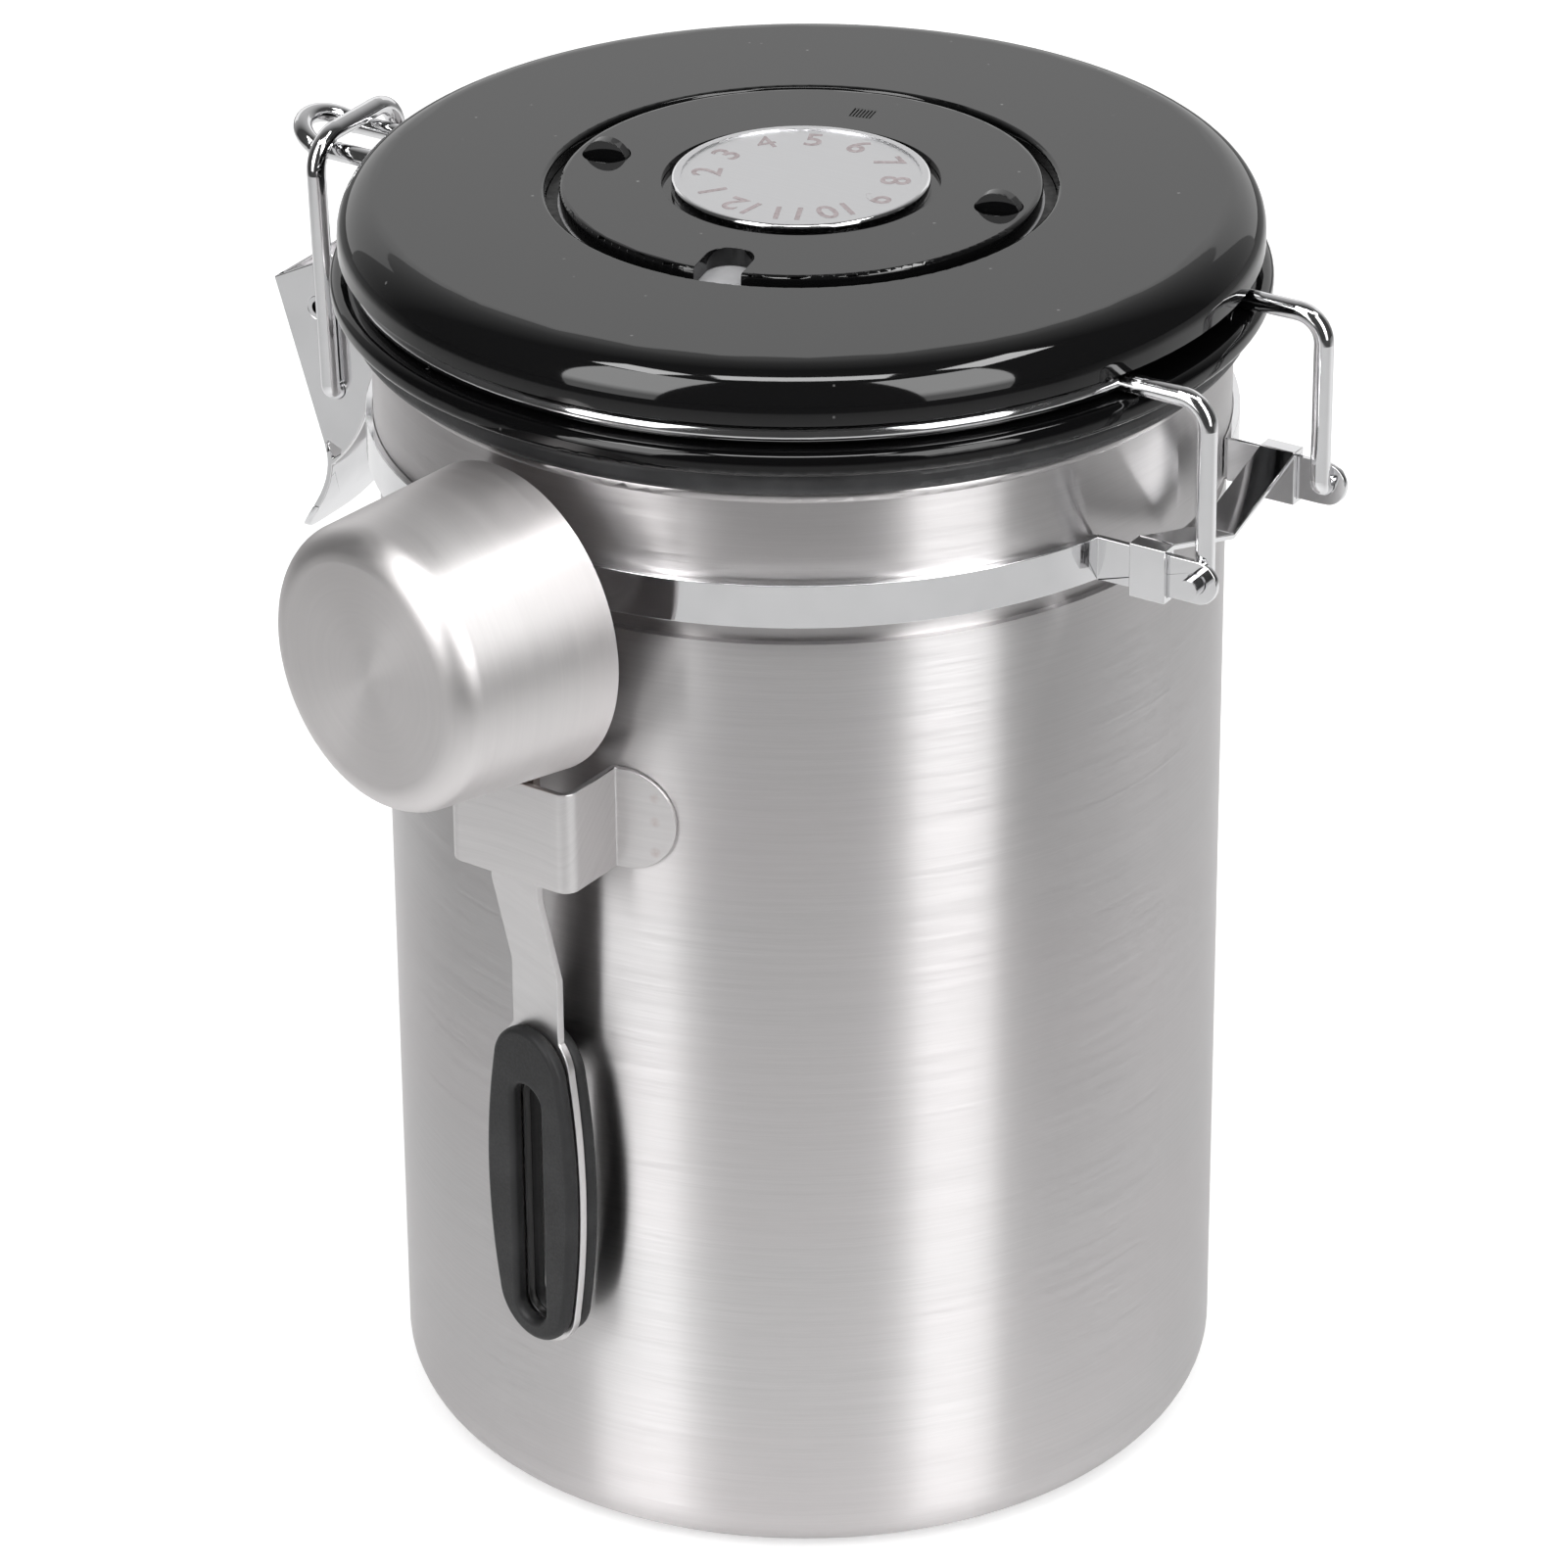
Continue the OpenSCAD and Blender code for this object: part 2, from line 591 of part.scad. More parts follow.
// Scoop, drawn with its opening towards the can
module scoop_at() {
  rotate([0, 0, holder_az]) translate([cup_d, shift, 0]) rotate([0, 0, scoop_turn]) children();
}
module cup_axis() translate([0, 0, cup_z]) rotate([0, 90, 0]) children();
module scoop_cup() color("silver") scoop_at() cup_axis() {
  r1 = cup_r;
  r2 = cup_r - cup_taper;
  e = cup_edge;
  rotate_extrude() difference() {
    union() {
      polygon([[0, 0], [r1, 0], [r2, cup_h - e], [0, cup_h - e]]);
      translate([0, cup_h - e - 1]) square([r2 - e, e + 1]);
      translate([r2 - e, cup_h - e]) circle(e, $fn = 64);
    }
    polygon([[-1, -1], [r1 - cup_t, -1], [r1 - cup_t, 0], [r2 - cup_t, cup_h - e], [-1, cup_h - e]]);
    translate([-1, cup_h - e - 1]) square([r2 - e + 1, e + 1 - cup_t]);
    intersection() {
      translate([r2 - e, cup_h - e]) circle(e - cup_t, $fn = 64);
      translate([0, cup_h - e - 1]) square([100, 100]);
    }
    translate([-100, -50]) square([100, 200]);
  }
}
module oval(l, w, h) {
  // two side arcs and two end arcs that meet smoothly
  re = w * 0.4;
  ze = l / 2 - re;
  b = w / 2;
  rt = (ze * ze + b * b - re * re) / (2 * (b - re));
  zt = ze * rt / (rt - re);
  // the side arcs are a little rounder than tangent ones, so that they cross the ends cleanly
  rs = rt * 0.98;
  linear_extrude(h) {
    intersection() {
      translate([rs - b, 0]) circle(rs, $fn = 360);
      translate([b - rs, 0]) circle(rs, $fn = 360);
      square([2 * w, 2 * zt], center = true);
    }
    for (s = [-1, 1]) translate([0, s * ze]) circle(re);
  }
}
module slot(h) {
  s = grip_l * 0.36 - slot_w / 2;
  for (k = [-1, 1]) translate([0, k * s - 3, 0]) cylinder(d = slot_w, h = h, $fn = 48);
  translate([-slot_w / 2, -s - 3, 0]) cube([slot_w, 2 * s, h]);
}
module grip_at(x) translate([-jog + x, 0, grip_z]) rotate([0, 0, 90]) rotate([90, 0, 0]) children();
module scoop_handle() color("silver") {
  za = hold_z0 - 3;
  zb = za - 14;
  t = strip_t / 2;
  tab = 12;
  k = cup_taper / (cup_h - cup_edge);
  scoop_at() difference() {
    union() {
      // tab that follows the cup's wall
      intersection() {
        cup_axis() rotate_extrude() polygon([
          [cup_r - 1, -t], [cup_r + 0.02 + strip_t + k * t, -t],
          [cup_r + 0.02 + strip_t - k * tab, tab], [cup_r - 1, tab]
        ]);
        translate([-5, -strip_w / 2, 0]) cube([40, strip_w, cup_z]);
      }
      // strip with its jog towards the can
      xz(-strip_w / 2, strip_w / 2) polygon([
        [t, cup_z - cup_r - 0.5], [t, za], [-jog + t, zb], [-jog + t, grip_z], [-jog - t, grip_z],
        [-jog - t, zb - 0.3], [-t, za - 0.3], [-t, cup_z - cup_r - 0.5]
      ]);
      grip_at(-t) oval(grip_l + 1.6, grip_w - 0.2, strip_t);
    }
    cup_axis() translate([0, 0, -5]) cylinder(r1 = cup_r + 0.02 + 5 * k, r2 = cup_r + 0.02 - 30 * k, h = 35);
    grip_at(-5) slot(10);
  }
}
module pad(x) scoop_at() difference() {
  grip_at(x) oval(grip_l, grip_w, pad_t);
  grip_at(x - 1) slot(pad_t + 2);
}
module scoop_grip_front() color("#242426") pad(strip_t / 2 + 0.01);
module scoop_grip_rear() color("#242426") pad(-strip_t / 2 - 0.01 - pad_t);

can_body();
neck_band();
hinge_bridge();
latch_bracket();
scoop_holder();
lid_wire();
lid_cap();
lid_base();
lid_gasket();
day_plate();
dial_hub();
date_ring();
month_dial();
dial_clip();
lid_screw_a();
lid_screw_b();
lid_screw_c();
lid_screw_d();
valve_body();
valve_disc();
valve_cage();
valve_filter();
latch_lever();
latch_pin();
bail_wire();
scoop_cup();
scoop_handle();
scoop_grip_front();
scoop_grip_rear();
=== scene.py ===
# A coffee canister: brushed steel can, hinged black lid with a vent and date dials, over-centre latch, scoop.
# Metres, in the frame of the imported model: Z up, latch towards -X, hinge towards +X, scoop towards -Y.
import math
import bpy
from mathutils import Matrix, Vector


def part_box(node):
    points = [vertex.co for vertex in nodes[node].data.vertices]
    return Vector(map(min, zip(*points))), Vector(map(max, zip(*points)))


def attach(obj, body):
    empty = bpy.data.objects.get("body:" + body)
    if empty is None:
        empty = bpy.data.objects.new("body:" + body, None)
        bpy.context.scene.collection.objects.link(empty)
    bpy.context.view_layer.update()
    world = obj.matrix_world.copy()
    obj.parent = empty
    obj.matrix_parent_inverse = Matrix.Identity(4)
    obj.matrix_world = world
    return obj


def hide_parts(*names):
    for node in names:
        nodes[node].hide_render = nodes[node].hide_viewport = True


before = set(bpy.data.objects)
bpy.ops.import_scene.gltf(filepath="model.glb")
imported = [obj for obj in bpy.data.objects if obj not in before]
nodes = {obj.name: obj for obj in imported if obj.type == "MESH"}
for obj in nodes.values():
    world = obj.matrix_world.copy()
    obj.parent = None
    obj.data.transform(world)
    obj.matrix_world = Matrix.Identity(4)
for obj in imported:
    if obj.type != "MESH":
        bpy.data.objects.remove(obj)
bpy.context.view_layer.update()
MM = 0.001


# Can: one deep-drawn cup of 0.8 mm stainless steel with a groove under the neck and a rolled rim.
# It was spun against an abrasive belt, so its scratches run round it.
def principled(name, colour, metallic, roughness):
    """A new material and its node tree, whose Principled shader has these values."""
    material = bpy.data.materials.new(name)
    material.use_nodes = True
    tree = material.node_tree
    shader = tree.nodes["Principled BSDF"]
    shader.inputs["Base Color"].default_value = (*colour, 1)
    shader.inputs["Metallic"].default_value = metallic
    shader.inputs["Roughness"].default_value = roughness
    return material, tree, shader


def math_node(tree, operation, a, b=None, c=None):
    """A Math node on numbers or sockets; gives its output socket."""
    node = tree.nodes.new("ShaderNodeMath")
    node.operation = operation
    for socket, value in zip(node.inputs, (a, b, c)):
        if isinstance(value, bpy.types.NodeSocket):
            tree.links.new(value, socket)
        elif value is not None:
            socket.default_value = value
    return node.outputs[0]


def vector_node(tree, operation, a, b=None):
    """A Vector Math node on vectors or sockets; gives the node."""
    node = tree.nodes.new("ShaderNodeVectorMath")
    node.operation = operation
    for socket, value in zip(node.inputs, (a, b)):
        if isinstance(value, bpy.types.NodeSocket):
            tree.links.new(value, socket)
        elif value is not None:
            socket.default_value = value
    return node


def placed(tree, centre=(0, 0, 0), turn=None):
    """Object coordinates from a centre, turned so that the piece's own axis is Z."""
    turn = turn or Matrix.Identity(3)
    coordinates = tree.nodes.new("ShaderNodeTexCoord")
    mapping = tree.nodes.new("ShaderNodeMapping")
    mapping.inputs["Location"].default_value = -(turn @ Vector(centre))
    mapping.inputs["Rotation"].default_value = turn.to_euler()
    tree.links.new(coordinates.outputs["Object"], mapping.inputs["Vector"])
    return mapping.outputs["Vector"]


def noise(tree, vector, scale, detail=3, roughness=0.5):
    """Noise stretched by its scale along X, Y and Z; gives a socket from 0 to 1."""
    stretched = vector_node(tree, "MULTIPLY", vector, scale).outputs[0]
    node = tree.nodes.new("ShaderNodeTexNoise")
    node.inputs["Scale"].default_value = 1
    node.inputs["Detail"].default_value = detail
    node.inputs["Roughness"].default_value = roughness
    tree.links.new(stretched, node.inputs["Vector"])
    return node.outputs["Fac"]


def spread(tree, value, low, high, start=0.3, end=0.7):
    """A value from start to end taken to low to high, and held there."""
    node = tree.nodes.new("ShaderNodeMapRange")
    for socket, number in zip(node.inputs[1:5], (start, end, low, high)):
        socket.default_value = number
    tree.links.new(value, node.inputs[0])
    return node.outputs[0]


def tinted(tree, amount, colour_a, colour_b):
    """Two colours mixed by an amount; gives the colour socket."""
    node = tree.nodes.new("ShaderNodeMix")
    node.data_type = "RGBA"
    for socket, value in ((node.inputs[0], amount), (node.inputs[6], colour_a), (node.inputs[7], colour_b)):
        if isinstance(value, bpy.types.NodeSocket):
            tree.links.new(value, socket)
        elif socket == node.inputs[0]:
            socket.default_value = value
        else:
            socket.default_value = (*value, 1)
    return node.outputs[2]


def bumped(tree, shader, height, distance, strength=1.0):
    """A bump of a real depth in metres on the shader's normal."""
    node = tree.nodes.new("ShaderNodeBump")
    node.inputs["Strength"].default_value = strength
    node.inputs["Distance"].default_value = distance
    tree.links.new(height, node.inputs["Height"])
    tree.links.new(node.outputs[0], shader.inputs["Normal"])


def off_axis(tree, place):
    """How far a point lies from the Z axis of these coordinates."""
    flat = vector_node(tree, "MULTIPLY", place, (1, 1, 0)).outputs[0]
    return vector_node(tree, "LENGTH", flat).outputs["Value"]


def grooves_round(tree, shader, turn=None):
    """Turns the shader's tangent along the piece's axis, across scratches that run round it."""
    turn = turn or Matrix.Identity(3)
    along = tree.nodes.new("ShaderNodeVectorTransform")
    along.vector_type = "VECTOR"
    along.convert_from = "OBJECT"
    along.convert_to = "WORLD"
    along.inputs[0].default_value = turn.transposed() @ Vector((0, 0, 1))
    tree.links.new(along.outputs[0], shader.inputs["Tangent"])


CAN_SCRATCHES = 4200
SCRATCH_DEPTH = 0.003 * MM
WARM_TINT = (1.03, 0.985, 0.99)


def brushed_steel(name, colour, roughness, anisotropy, centre=(0, 0, 0), turn=None,
                  scratches=CAN_SCRATCHES, contrast=1.0):
    """Steel brushed round an axis: scratches, broad faint clouds, highlights drawn out across them.

    The scratches are a number for each metre along the axis; the contrast makes them dark and deep.
    """
    material, tree, shader = principled(name, colour, 1, roughness)
    place = placed(tree, centre, turn)
    lift = tree.nodes.new("ShaderNodeCombineXYZ")
    tree.links.new(off_axis(tree, place), lift.inputs["Z"])
    ringed = vector_node(tree, "ADD", place, lift.outputs[0]).outputs[0]
    long_scratch = noise(tree, ringed, (30, 30, scratches * 0.45), 4, 0.65)
    short_scratch = noise(tree, ringed, (110, 110, scratches * 1.3), 2, 0.6)
    share = math_node(tree, "MULTIPLY", short_scratch, 0.4)
    both = math_node(tree, "MULTIPLY_ADD", long_scratch, 0.6, share)
    pale = tuple(min(c * 1.05, 1) for c in colour)
    dark = tuple(c * (1 - 0.10 * contrast) for c in colour)
    streaked = tinted(tree, spread(tree, both, 0, 1), dark, pale)
    warm = tuple(c * tint for c, tint in zip(colour, WARM_TINT))
    cloud = noise(tree, place, (9, 9, 30), 2)
    clouded = tinted(tree, spread(tree, cloud, 0, 0.45), streaked, warm)
    tree.links.new(clouded, shader.inputs["Base Color"])
    rough = spread(tree, both, roughness - 0.03, roughness + 0.04, 0.35, 0.65)
    tree.links.new(rough, shader.inputs["Roughness"])
    bumped(tree, shader, both, SCRATCH_DEPTH, 0.3 * contrast)
    shader.inputs["Anisotropic"].default_value = anisotropy
    grooves_round(tree, shader, turn)
    return material, tree, shader


def painted(node, material):
    """Gives a CAD node this material."""
    mesh = nodes[node].data
    mesh.materials.clear()
    mesh.materials.append(material)


CAN_STEEL = (0.600, 0.590, 0.591)
CAN_ROUGHNESS = 0.31
can_steel, _, _ = brushed_steel("can_brushed_steel", CAN_STEEL, CAN_ROUGHNESS, 1.0)
painted("can_body", can_steel)


# Strap: a bright plated strip that sits in the groove and is drawn tight by the crimped bridge at the hinge.
# Its ends stand out as two ears that hold the lid's wire.
SAME_POINT = 0.002 * MM
CORNER = math.radians(32)
BEVELLED_CORNER = math.radians(44)


def broken_edges(node, body, material, edge, segments=2, shape=None):
    """A copy of a CAD node in its place, with its sharp edges broken by a small round.

    Its corners may be moved by a shape function; an edge of 0 only smooths its shading.
    """
    piece = bpy.data.objects.new(node + "_finished", nodes[node].data.copy())
    for vertex in piece.data.vertices:
        vertex.co = shape(vertex.co) if shape else vertex.co
    bpy.context.scene.collection.objects.link(piece)
    bpy.ops.object.select_all(action="DESELECT")
    bpy.context.view_layer.objects.active = piece
    piece.select_set(True)
    bpy.ops.object.mode_set(mode="EDIT")
    bpy.ops.mesh.select_all(action="SELECT")
    bpy.ops.mesh.remove_doubles(threshold=SAME_POINT)
    bpy.ops.mesh.tris_convert_to_quads(face_threshold=math.radians(9), shape_threshold=math.radians(70))
    bpy.ops.mesh.dissolve_limited(angle_limit=math.radians(0.5))
    bpy.ops.object.mode_set(mode="OBJECT")
    if edge:
        bevel = piece.modifiers.new("edge", "BEVEL")
        bevel.width = edge
        bevel.segments = segments
        bevel.limit_method = "ANGLE"
        bevel.angle_limit = CORNER
        bevel.use_clamp_overlap = False
        bpy.ops.object.modifier_apply(modifier="edge")
    bpy.ops.object.shade_smooth_by_angle(angle=BEVELLED_CORNER if edge else CORNER)
    flat = piece.modifiers.new("flat", "WEIGHTED_NORMAL")
    flat.keep_sharp = True
    bpy.ops.object.modifier_apply(modifier="flat")
    piece.data.materials.clear()
    piece.data.materials.append(material)
    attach(piece, body)
    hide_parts(node)
    return piece


# A face is level above LEVEL; a corner that leans sideways past SIDEWAYS keeps its own normal.
# Corners share a normal on one ring, within SAME_RING, where their normals agree to SAME_WAY.
LEVEL = 0.9998
SIDEWAYS = 0.4
SAME_RING = 0.04 * MM
SAME_WAY = 0.87


def evened(piece):
    """Evens out the shading of a turned piece: level faces flat, one normal for each ring of corners."""
    mesh = piece.data
    normals = [corner.vector.copy() for corner in mesh.corner_normals]
    rings = {}
    level = set()
    for face in mesh.polygons:
        if abs(face.normal.z) > LEVEL:
            level.update(face.loop_indices)
            for index in face.loop_indices:
                normals[index] = face.normal.copy()
    for index, loop in enumerate(mesh.loops):
        if index in level:
            continue
        corner = mesh.vertices[loop.vertex_index].co
        out = Vector((corner.x, corner.y, 0))
        radius = out.length
        if radius < MM:
            continue
        out /= radius
        normal = normals[index]
        if abs(out.x * normal.y - out.y * normal.x) > SIDEWAYS:
            continue
        leaning = Vector((normal.dot(out), normal.z)).normalized()
        groups = rings.setdefault((round(radius / SAME_RING), round(corner.z / SAME_RING)), [])
        for group in groups:
            if group[0].normalized().dot(leaning) > SAME_WAY:
                group[0] += leaning
                group[1].append((index, out))
                break
        else:
            groups.append([leaning, [(index, out)]])
    for groups in rings.values():
        for total, members in groups:
            shared = total.normalized()
            for index, out in members:
                normals[index] = Vector((out.x * shared.x, out.y * shared.x, shared.y))
    mesh.normals_split_custom_set(normals)


def bright_chrome(name, colour=(0.80, 0.80, 0.81), roughness=0.07):
    """Bright nickel-chrome plating with faint polishing haze and small waves."""
    material, tree, shader = principled(name, colour, 1, roughness)
    place = placed(tree)
    haze = noise(tree, place, (160, 160, 160), 3)
    tree.links.new(spread(tree, haze, roughness - 0.03, roughness + 0.06), shader.inputs["Roughness"])
    wave = noise(tree, place, (120, 120, 120), 1)
    bumped(tree, shader, wave, 0.006 * MM, 0.4)
    hazed = tuple(c * 0.93 for c in colour)
    tree.links.new(tinted(tree, spread(tree, haze, 0, 1), hazed, colour), shader.inputs["Base Color"])
    return material


STRAP_EDGE = 0.12 * MM
FITTING_EDGE = 0.14 * MM
chrome = bright_chrome("bright_chrome")
broken_edges("neck_band", "can", chrome, STRAP_EDGE)
for node in ("hinge_bridge", "latch_bracket"):
    broken_edges(node, "can", chrome, FITTING_EDGE)


# Scoop's holder: a strip of the can's steel folded round the handle, its round tabs spot-welded to the wall.
# Three weld marks show on each tab as faint warm spots.
def spots(tree, place, centres, radius):
    """A mask that is 1 inside small round spots."""
    total = None
    for centre in centres:
        away = vector_node(tree, "DISTANCE", place, centre).outputs["Value"]
        spot = spread(tree, away, 1, 0, radius * 0.55, radius)
        total = spot if total is None else math_node(tree, "MAXIMUM", total, spot)
    return total


CAN_R = 60.0 * MM
HOLDER_AZ = -93
HOLDER_STEEL = (0.68, 0.672, 0.672)
HOLDER_ROUGHNESS = 0.4
STRIP_SCRATCHES = 2600
STRIP_EDGE = 0.15 * MM
WELD_AZ = 15.3
WELD_Z = (122.1 * MM, 118.4 * MM, 113.7 * MM)
WELD_R = 1.3 * MM
WELD_TINT = (0.42, 0.27, 0.24)
holder_steel, tree, shader = brushed_steel(
    "holder_steel", HOLDER_STEEL, HOLDER_ROUGHNESS, 0.2, scratches=STRIP_SCRATCHES)
weld_places = []
for side in (-1, 1):
    azimuth = math.radians(HOLDER_AZ + side * WELD_AZ)
    for z in WELD_Z:
        weld_places.append((CAN_R * math.cos(azimuth), CAN_R * math.sin(azimuth), z))
place = placed(tree)
grain = spread(tree, noise(tree, place, (1500,) * 3), 0.1, 0.55)
speckle = math_node(tree, "MULTIPLY", spots(tree, place, weld_places, WELD_R), grain)
steel_colour = shader.inputs["Base Color"].links[0].from_socket
tree.links.new(tinted(tree, speckle, steel_colour, WELD_TINT), shader.inputs["Base Color"])
broken_edges("scoop_holder", "can", holder_steel, STRIP_EDGE)


# Lid wire: one 2.8 mm plated rod, bent round the groove between the two halves of the lid.
# Its ends are the hinge legs with their turned feet, and its loop is what the bail pulls down on.
painted("lid_wire", chrome)


# Lid: a moulded underside with a plug and a rubber gasket, and a moulded cap, both gloss black.
# Four screws from below draw the cap down on the wire.
DUST = (0.4, 0.4, 0.4)


def gloss_black(name, colour=(0.004, 0.004, 0.0042), roughness=0.035, specular=0.44):
    """Injection-moulded gloss black: faint flow waves, fine dust and wiping haze."""
    material, tree, shader = principled(name, colour, 0, roughness)
    place = placed(tree)
    haze = noise(tree, place, (28, 28, 28), 4)
    tree.links.new(spread(tree, haze, roughness - 0.015, roughness + 0.03), shader.inputs["Roughness"])
    dust = tree.nodes.new("ShaderNodeTexVoronoi")
    dust.inputs["Scale"].default_value = 260
    tree.links.new(place, dust.inputs["Vector"])
    specks = spread(tree, dust.outputs["Distance"], 1, 0, 0.03, 0.075)
    where = spread(tree, noise(tree, place, (90, 90, 90)), 0, 0.5, 0.52, 0.66)
    dusty = math_node(tree, "MULTIPLY", specks, where)
    tree.links.new(tinted(tree, dusty, colour, DUST), shader.inputs["Base Color"])
    wave = noise(tree, place, (38, 38, 38), 1)
    bumped(tree, shader, wave, 0.02 * MM, 0.3)
    shader.inputs["Specular IOR Level"].default_value = specular
    return material


BASE_BLACK = (0.0025, 0.0025, 0.0027)
lid_black = gloss_black("lid_gloss_black")
evened(broken_edges("lid_cap", "lid", lid_black, 0))
base_black = gloss_black("lid_base_black", BASE_BLACK, roughness=0.045, specular=0.3)
evened(broken_edges("lid_base", "lid", base_black, 0))


# Gasket: a ring of dark rubber pushed over the plug, which seals on the can's rolled rim.
# It is dull, a little dusty, and shows the fine grain of its mould.
def rubber(name, colour, roughness, grain):
    """Moulded rubber with fine grain and a faint bloom."""
    material, tree, shader = principled(name, colour, 0, roughness)
    place = placed(tree)
    fine = noise(tree, place, (grain,) * 3, 3)
    bloom = noise(tree, place, (120,) * 3, 3)
    pale = tuple(min(c * 1.9 + 0.006, 1) for c in colour)
    bloomed = tinted(tree, spread(tree, bloom, 0, 0.6, 0.45, 0.75), colour, pale)
    tree.links.new(bloomed, shader.inputs["Base Color"])
    tree.links.new(spread(tree, fine, roughness - 0.08, roughness + 0.1), shader.inputs["Roughness"])
    bumped(tree, shader, fine, 0.02 * MM, 0.5)
    shader.inputs["Specular IOR Level"].default_value = 0.32
    return material


GASKET_RUBBER = (0.022, 0.022, 0.023)
painted("lid_gasket", rubber("gasket_rubber", GASKET_RUBBER, roughness=0.42, grain=3000))


# Date dials: a light day plate under a gloss black ring that turns to bring its window over a day,
# and a satin month dial in the middle, held from below by a spring clip on its stem.
DAY_TRACK_R = 33.9 * MM
PAINT_EDGE = 0.05 * MM
# The track's two greys, mixed by grain, are darker than the light plastic itself: painted shade from the ring
# over the plate.
SHADED_TRACK_DARK, SHADED_TRACK_LIGHT = (0.40, 0.40, 0.41), (0.48, 0.48, 0.49)
# Painted shade for the narrow gap between the ring and the lid's well.
GAP_SHADE_BLACK = (0.006, 0.006, 0.006)
RING_EDGE = 0.08 * MM
day_plate_and_shade, tree, shader = principled("day_plate_plastic_and_shade", SHADED_TRACK_LIGHT, 0, 0.45)
place = placed(tree)
fine = noise(tree, place, (900,) * 3, 2)
tree.links.new(spread(tree, fine, 0.4, 0.55), shader.inputs["Roughness"])
# Painted shade: outside the day track the plate is painted black, for the shade in the narrow gap round the
# ring.
in_gap_shade = spread(tree, off_axis(tree, place), 0, 1, DAY_TRACK_R, DAY_TRACK_R + PAINT_EDGE)
track = tinted(tree, fine, SHADED_TRACK_DARK, SHADED_TRACK_LIGHT)
tree.links.new(tinted(tree, in_gap_shade, track, GAP_SHADE_BLACK), shader.inputs["Base Color"])
painted("day_plate", day_plate_and_shade)
painted("dial_hub", lid_black)
evened(broken_edges("date_ring", "ring", lid_black, RING_EDGE))

# Index mark: fine ribs moulded in the ring's small recess opposite the window.
MARK_AZ = 102
MARK_R = 25.7 * MM
RING_TOP = 189.07 * MM
RIBS = 6
RIB_STEP = 0.5 * MM
RIB_SIZE = (2.8 * MM, 0.26 * MM, 0.28 * MM)
RIB_MIDDLE = RING_TOP - 0.18 * MM
ribs = []
for rib in range(RIBS):
    bpy.ops.object.select_all(action="DESELECT")
    bpy.ops.mesh.primitive_cube_add(size=1)
    across = (rib - (RIBS - 1) / 2) * RIB_STEP
    place = Matrix.Translation((MARK_R, across, RIB_MIDDLE)) @ Matrix.Diagonal((*RIB_SIZE, 1))
    bpy.context.object.data.transform(Matrix.Rotation(math.radians(MARK_AZ), 4, "Z") @ place)
    ribs.append(bpy.context.object)
for rib in ribs:
    rib.select_set(True)
bpy.ops.object.join()
index_mark = bpy.context.object
index_mark.name = "index_mark"
index_mark.data.materials.append(lid_black)
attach(index_mark, "ring")

# Month dial: its brushed face is finished with a narrow polished rim.
DIAL_R = 18.1 * MM
DIAL_RIM = 0.35 * MM
RIM_DEPTH = 0.25 * MM
SATIN_DARK, SATIN_LIGHT = (0.66, 0.66, 0.67), (0.70, 0.70, 0.71)
RIM_POLISHED = (0.80, 0.80, 0.81)
RIM_SMOOTHER = 0.28
dial_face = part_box("month_dial")[1].z - RIM_DEPTH
dial_satin, tree, shader = principled("month_dial_satin", SATIN_LIGHT, 1, 0.3)
place = placed(tree)
rim_start = DIAL_R - DIAL_RIM
on_rim = spread(tree, off_axis(tree, place), 0, 1, rim_start - PAINT_EDGE, rim_start + PAINT_EDGE)
brush = noise(tree, place, (60, 5200, 60), 3, 0.6)
satin = spread(tree, brush, 0.36, 0.42, 0.35, 0.65)
tree.links.new(math_node(tree, "MULTIPLY_ADD", on_rim, -RIM_SMOOTHER, satin), shader.inputs["Roughness"])
face_colour = tinted(tree, spread(tree, brush, 0, 1), SATIN_DARK, SATIN_LIGHT)
tree.links.new(tinted(tree, on_rim, face_colour, RIM_POLISHED), shader.inputs["Base Color"])
bumped(tree, shader, brush, 0.004 * MM, 0.3)
evened(broken_edges("month_dial", "dial", dial_satin, 0))

# Month numbers: printed on the satin face, tops outward, clockwise, in a thin worn brown.
# The 4 keeps the font's own strokes, because widening leaves a stray sliver in it.
NUMBER_RING = 13.0 * MM
NUMBER_H = 3.1 * MM
FONT_CAP = 0.52
FIRST_MONTH_AZ = 234
MONTH_STEP = 30
PRINT_HALF = 0.015 * MM
PRINT_UP = 0.02 * MM
STROKE_WIDER = 0.065 * MM
INK_DARK, INK_WORN = (0.26, 0.215, 0.22), (0.40, 0.35, 0.36)
ink, tree, shader = principled("month_ink", INK_DARK, 0, 0.5)
wear = spread(tree, noise(tree, placed(tree), (1800,) * 3, 3), 0, 1)
tree.links.new(tinted(tree, wear, INK_DARK, INK_WORN), shader.inputs["Base Color"])
for month in range(1, 13):
    bpy.ops.object.select_all(action="DESELECT")
    bpy.ops.object.text_add()
    number = bpy.context.object
    number.data.body = str(month)
    number.data.align_x = "CENTER"
    number.data.align_y = "CENTER"
    number.data.size = NUMBER_H / FONT_CAP
    number.data.extrude = PRINT_HALF
    number.data.offset = 0 if month == 4 else STROKE_WIDER
    bpy.ops.object.convert(target="MESH")
    azimuth = math.radians(FIRST_MONTH_AZ - MONTH_STEP * (month - 1))
    upright = Matrix.Rotation(math.radians(-90), 4, "Z")
    outward = Matrix.Translation((NUMBER_RING, 0, dial_face + PRINT_UP)) @ upright
    number.data.transform(Matrix.Rotation(azimuth, 4, "Z") @ outward)
    number.name = f"month_number_{month}"
    number.data.materials.append(ink)
    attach(number, "dial")


# Inside fastenings: the clip on the dial's stem and the four cap screws, all plain plated steel.
# They show only from below, with the lid open.
SCREW_STEEL = (0.62, 0.61, 0.60)
screw_steel = bright_chrome("screw_steel", SCREW_STEEL, roughness=0.2)
for node in ("dial_clip", "lid_screw_a", "lid_screw_b", "lid_screw_c", "lid_screw_d"):
    painted(node, screw_steel)


